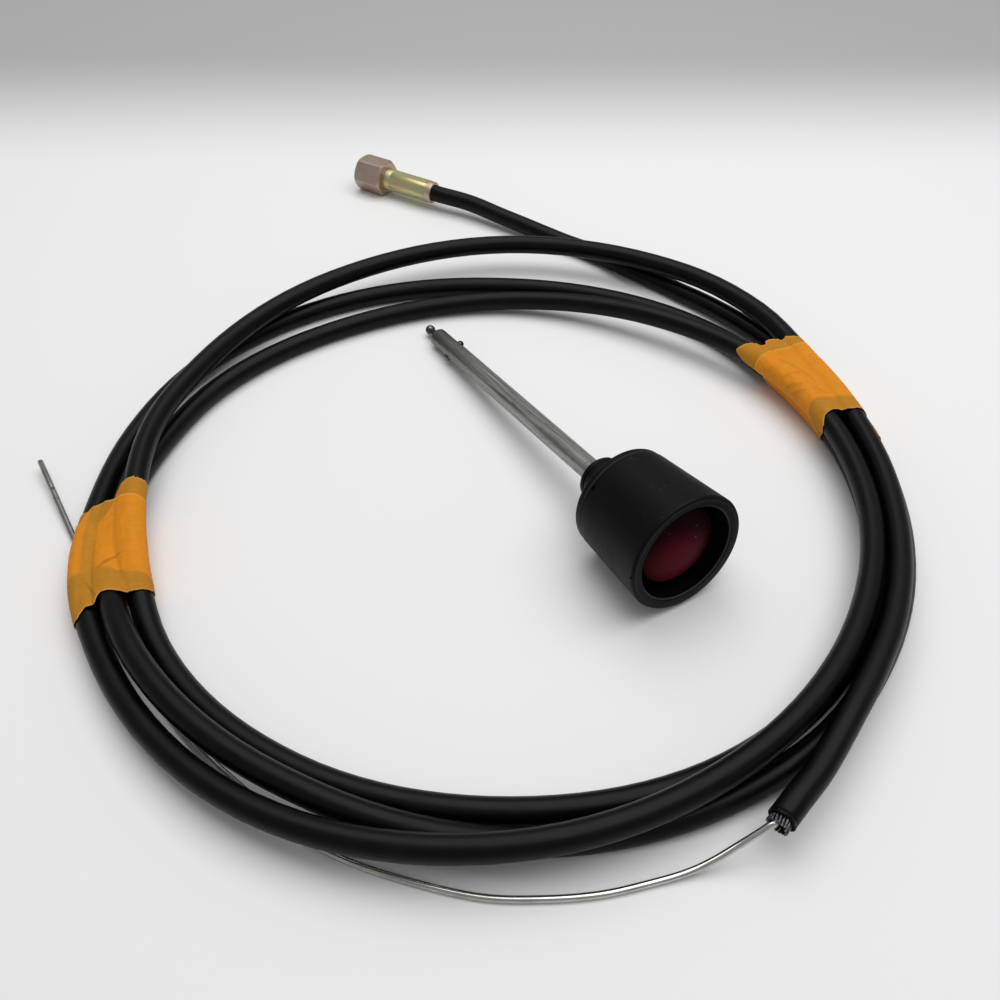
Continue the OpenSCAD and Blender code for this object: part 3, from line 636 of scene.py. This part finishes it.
@functools.cache
def section(place, turns):
    """The taut outline round the runs at a numbered place, as radius and height in mm, evenly
    spaced, up and over; the runs' centres; and the outline's length."""
    t = place / OUTLINES_PER_DEGREE
    cores = [(lane(t + 360 * k, 1), lane(t + 360 * k, 2) + ROUND_LIFT) for k in range(turns)]
    outline = []
    for k in range(OUTLINE_STEPS):
        a = math.radians(360 * k / OUTLINE_STEPS + OUTLINE_START)
        c = max(cores, key=lambda q: q[0] * math.cos(a) + q[1] * math.sin(a))
        outline.append(Vector((c[0] + TURN_R * math.cos(a), c[1] + TURN_R * math.sin(a))))
    outline.append(outline[0])
    marks = [0.0]
    for a, b in zip(outline, outline[1:]):
        marks.append(marks[-1] + (b - a).length)
    made, k = [], 0
    for n in range(TAPE_STEPS_ROUND + 1):
        at = marks[-1] * n / TAPE_STEPS_ROUND
        while k < len(marks) - 2 and marks[k + 1] < at:
            k += 1
        f = (at - marks[k]) / max(marks[k + 1] - marks[k], 1e-9)
        made.append(outline[k].lerp(outline[k + 1], min(f, 1)))
    return made, cores, marks[-1]


def level(stops, x):
    """A value at x along given (x, value) stops, in straight lines between them."""
    for (x0, v0), (x1, v1) in zip(stops, stops[1:]):
        if x <= x1:
            return v0 + (v1 - v0) * max(0.0, (x - x0) / (x1 - x0))
    return stops[-1][1]


def tape_layer(turns, starts, ends, reach, torn, seed, creases, gap_shade, other):
    """One layer of tape, from its starting edge to its ending one.  The edges are angles along
    stops round the band, from 0 low on its outer side; torn is how ragged they are.  Where
    other's edges don't cover the same place the tape lies single, and the hollow stops say how
    much painted shade darkens it over a gap between two turns.  Each spot is its point, how
    single it is together with that painted gap shade, how much painted shade its folds get,
    whether it is a cut edge, and its place on the map."""
    spots = []
    for m in range(TAPE_STEPS_ALONG + 1):
        for n in range(TAPE_STEPS_ROUND + 1):
            w = n / TAPE_STEPS_ROUND
            # Teeth 1 mm wide with finer ones on them
            ragged = (torn * noise.noise(Vector((w * 90, seed, 0)))
                      + 0.4 * torn * noise.noise(Vector((w * 300, seed, 5))))
            t0, t1 = level(starts, w) + ragged, level(ends, w) + ragged
            t = t0 + (t1 - t0) * m / TAPE_STEPS_ALONG
            before = math.floor(t * OUTLINES_PER_DEGREE)
            line, cores, girth = section(before, turns)
            at = line[n].lerp(section(before + 1, turns)[0][n], t * OUTLINES_PER_DEGREE - before)
            ahead = (line[(n + 1) % TAPE_STEPS_ROUND] - line[n - 1 if n else -2]).normalized()
            out = Vector((ahead.y, -ahead.x))
            # It sags into a gap by two fifths of its depth, less in a shallow one, and is crumpled
            # in folds 2 to 7 mm across
            gap = min((at - Vector(c)).length for c in cores) - TURN_R
            sag = min(0.4 * gap * min(gap / 1.5, 1.0), SAG_DEEPEST)
            along = math.radians(t) * TAPED_R
            crumple = 0.1 + 0.14 * noise.noise(Vector((w * girth * 0.5, along * 0.15, 1)))
            crumple += 0.09 * noise.noise(Vector((w * girth * 0.8, along * 0.6, 9)))
            # Each crease is a ridge 1 mm wide, with painted shade on its shut side
            fold_shade_amount = 0.0
            for cw, ct, slant, high, wide in creases:
                x, y = (w - cw) * girth, (t - ct) * MM_PER_DEGREE
                off = x * math.cos(slant) + y * math.sin(slant)
                run = -x * math.sin(slant) + y * math.cos(slant)
                crumple += high * math.exp(-(off / 0.5) ** 2 - (run / wide) ** 2)
                shade_falloff = math.exp(-((off + 0.3) / 0.4) ** 2 - (run / wide) ** 4)
                fold_shade_amount = max(fold_shade_amount, 1.2 * high * shade_falloff)
            p = at + out * (reach - sag + crumple)
            covered = min(t - level(other[0], w), level(other[1], w) - t) * MM_PER_DEGREE
            # Single where the other layer doesn't cover it, and painted shade over a gap between
            # turns
            single_and_gap_shade = max(1 - min(max(covered / 1.2 + 0.5, 0), 1), min(gap / 0.3, level(gap_shade, w)))
            spots.append((at_angle(t, p.x, max(p.y, 0.1)), single_and_gap_shade, fold_shade_amount,
                          float(m in (0, TAPE_STEPS_ALONG)), (w * girth * MM, along * MM)))
    return spots


def tape_band(name, turns, layers, seed, creases, gap_shade):
    """Both layers of one band, as one sheet of paper with its thickness.  A layer is its edges,
    how far it stands off the turns, and how ragged it is.  A crease is its place round and
    along, its slant, height and half length."""
    nowhere = [(0, 1e4), (1, 1e4)], [(0, -1e4), (1, -1e4)]
    spots, faces, wide = [], [], TAPE_STEPS_ROUND + 1
    for k, (starts, ends, reach, torn) in enumerate(layers):
        base = len(spots)
        spots += tape_layer(turns, starts, ends, reach, torn, seed + 20 * k, creases, gap_shade,
                            layers[0][:2] if k else nowhere)
        for m in range(TAPE_STEPS_ALONG):
            for n in range(TAPE_STEPS_ROUND):
                a = base + m * wide + n
                faces.append((a, a + wide, a + wide + 1, a + 1))
    points, single_and_gap_shade, fold_shades, edge, maps = zip(*spots)
    mesh = bpy.data.meshes.new(name)
    mesh.from_pydata(points, [], faces)
    layer = mesh.uv_layers.new(name="map")
    for corner in mesh.loops:
        layer.data[corner.index].uv = maps[corner.vertex_index]
    for label, values in (("single_layer_and_gap_shade", single_and_gap_shade), ("fold_shade", fold_shades), ("cut_edge", edge)):
        mesh.attributes.new(label, "FLOAT", "POINT").data.foreach_set("value", values)
    mesh.shade_smooth()
    made = piece(name, mesh, crepe, "cable")
    skin = made.modifiers.new("paper", "SOLIDIFY")
    skin.thickness = TAPE_T
    skin.offset = 0
    return made


# How far each layer stands off the turns, in mm
UNDER, OVER = 0.1, 0.28
tape_left = tape_band("tape_band_left", 3, [
    ([(0, 208.5), (0.03, 209), (0.25, 209.4), (0.32, 208.5), (0.4, 207), (0.5, 206.4),
      (0.58, 205.5), (0.7, 204), (0.92, 204), (1, 208.5)],
     [(0, 221), (0.15, 221), (0.17, 218.5), (0.22, 218), (0.27, 219.5), (0.29, 221), (0.31, 223.4),
      (0.345, 224.5), (0.385, 225.1), (0.48, 225.4), (0.53, 225), (0.6, 224.5), (0.7, 223.5),
      (0.92, 223), (1, 221)], UNDER, 0.3),
    ([(0, 202), (0.1, 202), (0.155, 203), (0.205, 203), (0.25, 204.3), (0.3, 204), (0.36, 203.5),
      (0.5, 203.5), (0.7, 205), (1, 202)],
     [(0, 219), (0.1, 219), (0.16, 221.8), (0.23, 222.4), (0.32, 222), (0.48, 221.6), (0.6, 222),
      (0.75, 220), (1, 219)], OVER, 0.1)],
    seed=3, creases=[(0.31, 210.3, 2.02, 0.45, 4.5), (0.2, 206, 0.4, 0.25, 5)],
    gap_shade=[(0, 0.1), (0.145, 0.1), (0.16, 0.8), (0.215, 0.8), (0.235, 0.1), (1, 0.1)])
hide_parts("tape_left")
tape_right = tape_band("tape_band_right", 4, [
    ([(0, 11), (0.2, 10.2), (0.27, 8.5), (0.3, 8.5), (0.335, 7.3), (0.375, 6.8), (0.4, 7.6),
      (0.425, 7.4), (0.455, 6), (0.49, 5.3), (0.54, 4.5), (0.57, 7), (0.6, 9.5), (1, 11)],
     [(0, 26), (0.28, 25.7), (0.35, 24.7), (0.47, 24.2), (0.55, 25.5), (0.65, 27), (1, 26)],
     UNDER, 0.3),
    ([(0, 12), (0.2, 11.6), (0.3, 10.7), (0.385, 9.7), (0.53, 9.5), (0.65, 10), (1, 12)],
     [(0, 32), (0.12, 32), (0.15, 30), (0.18, 29.2), (0.3, 28.7), (0.37, 28), (0.42, 28),
      (0.47, 28.6), (0.5, 30), (0.545, 30.4), (0.6, 29), (0.7, 27.5), (1, 32)], OVER, 0.1)],
    seed=11, creases=[
        (0.44, 17, 1.2, 0.3, 5), (0.49, 21, 0.9, 0.3, 4), (0.52, 12.5, 0.8, 0.25, 3),
        (0.4, 22.5, 0.7, 0.25, 4), (0.505, 18.5, 1.1, 0.35, 3), (0.475, 19.5, 0.8, 0.3, 2.5),
        (0.41, 15, 0.25, 0.25, 5), (0.385, 17.5, 0.2, 0.25, 6), (0.43, 13.5, 0.35, 0.2, 4)],
    gap_shade=[(0, 0.15), (1, 0.15)])
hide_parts("tape_right")

# ---- Knob ----------------------------------------
# A grip moulded in black nylon, hollow in front for the button.  A ring is welded on behind its
# seam, and a ribbed collar holds the shaft.
KNOB_AT, KNOB_TURN = Vector((26, -62.9, 22.335)) * MM, math.radians(-0.2)
# It rests on its rear edge and on its shaft's chamfered tip
REAR_D, REAR_EDGE, SHAFT_D, SHAFT_END, TIP_CHAMFER = 38, 31, 7.94, 166.1, 1
KNOB_TILT = math.atan((REAR_D - SHAFT_D) / 2 / (SHAFT_END - TIP_CHAMFER - REAR_EDGE))
KNOB = (Matrix.Translation(COIL_CENTRE + KNOB_AT) @ Matrix.Rotation(KNOB_TURN, 4, "Z")
        @ Matrix.Rotation(math.radians(-90) - KNOB_TILT, 4, "X"))
ON_KNOB = {"Location": KNOB.to_translation(), "Rotation": KNOB.to_euler()}
BORE_R = 17 * MM

nylon, tree = surface("moulded_black_nylon")
# Satin and nearly black, with a fine moulded grain and pale scuffs, and painted highlight
# lines at the edges of the recess, the front and the ring behind the seam
where = put(tree, "ShaderNodeTexCoord").outputs["Object"]
on_knob = put(tree, "ShaderNodeMapping", {"Vector": where, **ON_KNOB}, vector_type="TEXTURE")
# Grain 0.5 mm across, drawn coarser than the real one so that it shows
grain = put(tree, "ShaderNodeTexNoise", {"Vector": where, "Scale": 2000.0, "Detail": 2.0})
# Scuffs 3 mm across, only in patches 15 mm across
scuffs = put(tree, "ShaderNodeTexNoise", {
    "Vector": on_knob, "Scale": 330.0, "Detail": 6.0, "Roughness": 0.7, "Distortion": 1.2})
scuff = put(tree, "ShaderNodeMapRange", {"Value": scuffs, "From Min": 0.56, "From Max": 0.72})
handled = put(tree, "ShaderNodeTexNoise", {"Vector": where, "Scale": 65.0, "Detail": 3.0})
patch = put(tree, "ShaderNodeMapRange", {
    "Value": handled, "From Min": 0.5, "From Max": 0.64, "To Max": 0.35})
scuffed = put(tree, "ShaderNodeMath", {0: scuff, 1: patch}, operation="MULTIPLY")
# Each painted highlight line: radius, depth, half width and how bright
split = put(tree, "ShaderNodeSeparateXYZ", {0: on_knob})
flat = put(tree, "ShaderNodeCombineXYZ", {0: split, 1: split.outputs[1]})
out = put(tree, "ShaderNodeVectorMath", {0: flat}, operation="LENGTH")
# Painted highlights: thin pale lines where the edges would catch the light, added to the scuffs
scuffs_and_edge_highlights = scuffed
for radius, depth, half, highlight_strength in ((BORE_R + 0.25 * MM, 0.3 * MM, 0.2 * MM, 0.8),
                                  (BORE_R + 2.55 * MM, 0.3 * MM, 0.25 * MM, 0.3),
                                  (BORE_R + 1.6 * MM, 31.9 * MM, 0.25 * MM, 0.55)):
    across = put(tree, "ShaderNodeMath", {0: out.outputs["Value"], 1: radius, 2: half},
                 operation="COMPARE")
    deep = put(tree, "ShaderNodeMath", {0: split.outputs[2], 1: depth, 2: 0.4 * MM},
               operation="COMPARE")
    both = put(tree, "ShaderNodeMath", {0: across, 1: deep}, operation="MULTIPLY")
    line = put(tree, "ShaderNodeMath", {0: both, 1: highlight_strength}, operation="MULTIPLY")
    scuffs_and_edge_highlights = put(tree, "ShaderNodeMath", {0: scuffs_and_edge_highlights, 1: line}, operation="MAXIMUM")
skin = put(tree, "ShaderNodeMix", {0: scuffs_and_edge_highlights, 6: colour("#040405"), 7: colour("#3C3D3E")},
           data_type="RGBA")
gloss = put(tree, "ShaderNodeMapRange", {
    "Value": handled, "From Min": 0.35, "From Max": 0.65, "To Min": 0.4, "To Max": 0.54})
relief = put(tree, "ShaderNodeBump", {"Height": grain, "Strength": 0.3, "Distance": 0.00003})
body = put(tree, "ShaderNodeBsdfPrincipled", {
    "Base Color": skin.outputs[2], "Roughness": gloss, "Normal": relief, "IOR": 1.53,
    "Specular IOR Level": 0.1})
put(tree, "ShaderNodeOutputMaterial", {"Surface": body})
SEAM_AT, SEAM_DEEPER = 31.5 * MM, 0.6 * MM
knob_body = from_node("knob_body", "knob_shell", nylon, "knob", sharp=12)
knob_ring = from_node("knob_ring", "knob_rear_cap", nylon, "knob", sharp=12)
# The seam's groove is cut deeper than the solids draw it
for half in (knob_body, knob_ring):
    for v in half.data.vertices:
        local = KNOB.inverted() @ v.co
        across = Vector((local.x, local.y, 0))
        if abs(local.z - SEAM_AT) < 0.01 * MM and across.length > BORE_R:
            v.co = KNOB @ (local - SEAM_DEEPER * across.normalized())
from_node("shaft_collar", "neck_collar", nylon, "knob", 0.08 * MM)

# ---- Shaft ---------------------------------------
# An 8 mm steel tube, zinc plated, with a locating groove milled along it and a cross hole for
# the two balls.  It is pressed into the collar.
grey_zinc, tree = surface("dull_zinc_plate")
# Old zinc is a dull mid grey, streaked along the shaft, with dark grease smears and pale rubs
where = put(tree, "ShaderNodeTexCoord").outputs["Object"]
on_knob = put(tree, "ShaderNodeMapping", {"Vector": where, **ON_KNOB}, vector_type="TEXTURE")
# Streaks 0.5 mm apart and 20 mm long
streak_run = put(tree, "ShaderNodeMapping", {"Vector": on_knob, "Scale": (2000, 2000, 50)})
streaks = put(tree, "ShaderNodeTexNoise", {"Vector": streak_run, "Scale": 1.0, "Detail": 4.0})
streaked = put(tree, "ShaderNodeMapRange", {"Value": streaks, "From Min": 0.32, "From Max": 0.68})
# Smears 1 mm across and 2 mm long, in places
smear_run = put(tree, "ShaderNodeMapping", {"Vector": on_knob, "Scale": (1000, 1000, 450)})
smears = put(tree, "ShaderNodeTexNoise", {
    "Vector": smear_run, "Scale": 1.0, "Detail": 5.0, "Roughness": 0.65, "Distortion": 0.5})
smeared = put(tree, "ShaderNodeMapRange", {
    "Value": smears, "From Min": 0.56, "From Max": 0.68, "To Max": 0.55})
metal = put(tree, "ShaderNodeMix", {0: streaked, 6: colour("#747670"), 7: colour("#B4B6B0")},
            data_type="RGBA")
greased = put(tree, "ShaderNodeMix", {0: smeared, 6: metal.outputs[2], 7: colour("#42443F")},
              data_type="RGBA")
# Grease and wear blacken it toward the tip
along = put(tree, "ShaderNodeSeparateXYZ", {0: on_knob})
near_tip = put(tree, "ShaderNodeMapRange", {
    "Value": along.outputs[2], "From Min": 120 * MM, "From Max": 160 * MM, "To Max": 0.8})
streaky = put(tree, "ShaderNodeMapRange", {
    "Value": streaks, "From Min": 0.35, "From Max": 0.6, "To Min": 0.3})
soot = put(tree, "ShaderNodeMath", {0: near_tip, 1: streaky}, operation="MULTIPLY")
sooted = put(tree, "ShaderNodeMix", {0: soot, 6: greased.outputs[2], 7: colour("#2C2E2B")},
             data_type="RGBA")
rough = put(tree, "ShaderNodeMapRange", {
    "Value": streaks, "From Min": 0.3, "From Max": 0.7, "To Min": 0.36, "To Max": 0.54})
relief = put(tree, "ShaderNodeBump", {"Height": streaks, "Strength": 0.4, "Distance": 0.00005})
body = put(tree, "ShaderNodeBsdfPrincipled", {
    "Base Color": sooted.outputs[2], "Metallic": 0.85, "Roughness": rough, "Normal": relief})
put(tree, "ShaderNodeOutputMaterial", {"Surface": body})
from_node("shaft", "shaft_tube", grey_zinc, "knob", 0.08 * MM)

# ---- Button --------------------------------------
# A domed button moulded in red nylon, pressed onto the rod.  A coil spring behind it, on a
# washer, pushes it out.
SPRING_FROM, SPRING_TO, SPRING_SEAT = 9.3 * MM, 18.8 * MM, 19.2 * MM
SPRING_R, SPRING_WIRE_R, CURLS = 4.6 * MM, 0.4 * MM, 5.0

from_node("washer", "spring_washer", spring_steel, "knob")
mesh = grown("return_spring", helix, KNOB @ Matrix.Translation((0, 0, SPRING_FROM)), turns=CURLS,
             radius=SPRING_R, height=SPRING_TO - SPRING_FROM, wire_radius=SPRING_WIRE_R, sides=10)
for face in mesh.polygons:
    face.use_smooth = face.loop_total == 4
return_spring = piece("return_spring", mesh, spring_steel, "knob")
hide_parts("button_spring")
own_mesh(return_spring)

red_nylon, tree = surface("moulded_red_nylon")
# Deep wine red and satin, with fine flow lines across it and a few pale specks
where = put(tree, "ShaderNodeTexCoord").outputs["Object"]
on_knob = put(tree, "ShaderNodeMapping", {"Vector": where, **ON_KNOB}, vector_type="TEXTURE")
# Flow lines 0.5 mm apart and 6 mm long
flow_run = put(tree, "ShaderNodeMapping", {
    "Vector": on_knob, "Rotation": (0, 0, 0.9), "Scale": (160, 1900, 160)})
flow = put(tree, "ShaderNodeTexNoise", {"Vector": flow_run, "Scale": 1.0, "Detail": 3.0})
# Specks 0.4 mm across
specks = put(tree, "ShaderNodeTexNoise", {"Vector": where, "Scale": 1700.0, "Detail": 0.0})
speck = put(tree, "ShaderNodeMapRange", {"Value": specks, "From Min": 0.85, "From Max": 0.88})
skin = put(tree, "ShaderNodeMix", {0: flow, 6: colour("#400812"), 7: colour("#621222")},
           data_type="RGBA")
# Painted shade: the button darkens toward its edges, away from a spot near its middle, where the
# recess's walls shade it
from_lit_spot = put(tree, "ShaderNodeVectorMath", {0: on_knob, 1: (-2 * MM, 4.5 * MM, 4 * MM)},
                 operation="DISTANCE")
recess_shade = put(tree, "ShaderNodeMapRange", {
    "Value": from_lit_spot.outputs["Value"], "From Min": 5 * MM, "From Max": 15 * MM, "To Max": 0.9},
    interpolation_type="SMOOTHSTEP")
recess_shaded = put(tree, "ShaderNodeMix", {0: recess_shade, 6: skin.outputs[2], 7: colour("#0C0204")},
            data_type="RGBA")
flecked = put(tree, "ShaderNodeMix", {0: speck, 6: recess_shaded.outputs[2], 7: colour("#B98A8A")},
              data_type="RGBA")
relief = put(tree, "ShaderNodeBump", {"Height": flow, "Strength": 0.7, "Distance": 0.0001})
body = put(tree, "ShaderNodeBsdfPrincipled", {
    "Base Color": flecked.outputs[2], "Roughness": 0.5, "Normal": relief, "IOR": 1.53,
    "Specular IOR Level": 0.03})
put(tree, "ShaderNodeOutputMaterial", {"Surface": body})
from_node("button", "release_button", red_nylon, "button")

# ---- Rod and balls -------------------------------
# A ground steel rod runs from the button to its round nose past the shaft's tip.  It holds the
# two bearing balls out until the button is pressed.  A stop ring keeps it in the shaft.
ground_steel, tree = surface("ground_bearing_steel")
# Dark and bright at once: a polished ball that old grease has dulled in patches
where = put(tree, "ShaderNodeTexCoord").outputs["Object"]
# Grease 1.5 mm across
grease = put(tree, "ShaderNodeTexNoise", {"Vector": where, "Scale": 660.0, "Detail": 3.0})
coat = put(tree, "ShaderNodeMapRange", {"Value": grease, "From Min": 0.42, "From Max": 0.58})
metal = put(tree, "ShaderNodeMix", {0: coat, 6: colour("#6E6F6D"), 7: colour("#2A2B2A")},
            data_type="RGBA")
rough = put(tree, "ShaderNodeMapRange", {
    "Value": grease, "From Min": 0.4, "From Max": 0.6, "To Min": 0.14, "To Max": 0.34})
body = put(tree, "ShaderNodeBsdfPrincipled", {
    "Base Color": metal.outputs[2], "Metallic": 1.0, "Roughness": rough})
put(tree, "ShaderNodeOutputMaterial", {"Surface": body})
from_node("push_rod", "plunger_rod", ground_steel, "button")
from_node("rod_stop_ring", "stop_ring", spring_steel, "button")
from_node("upper_ball", "lock_ball_upper", ground_steel, "ball_upper")
from_node("lower_ball", "lock_ball_lower", ground_steel, "ball_lower")
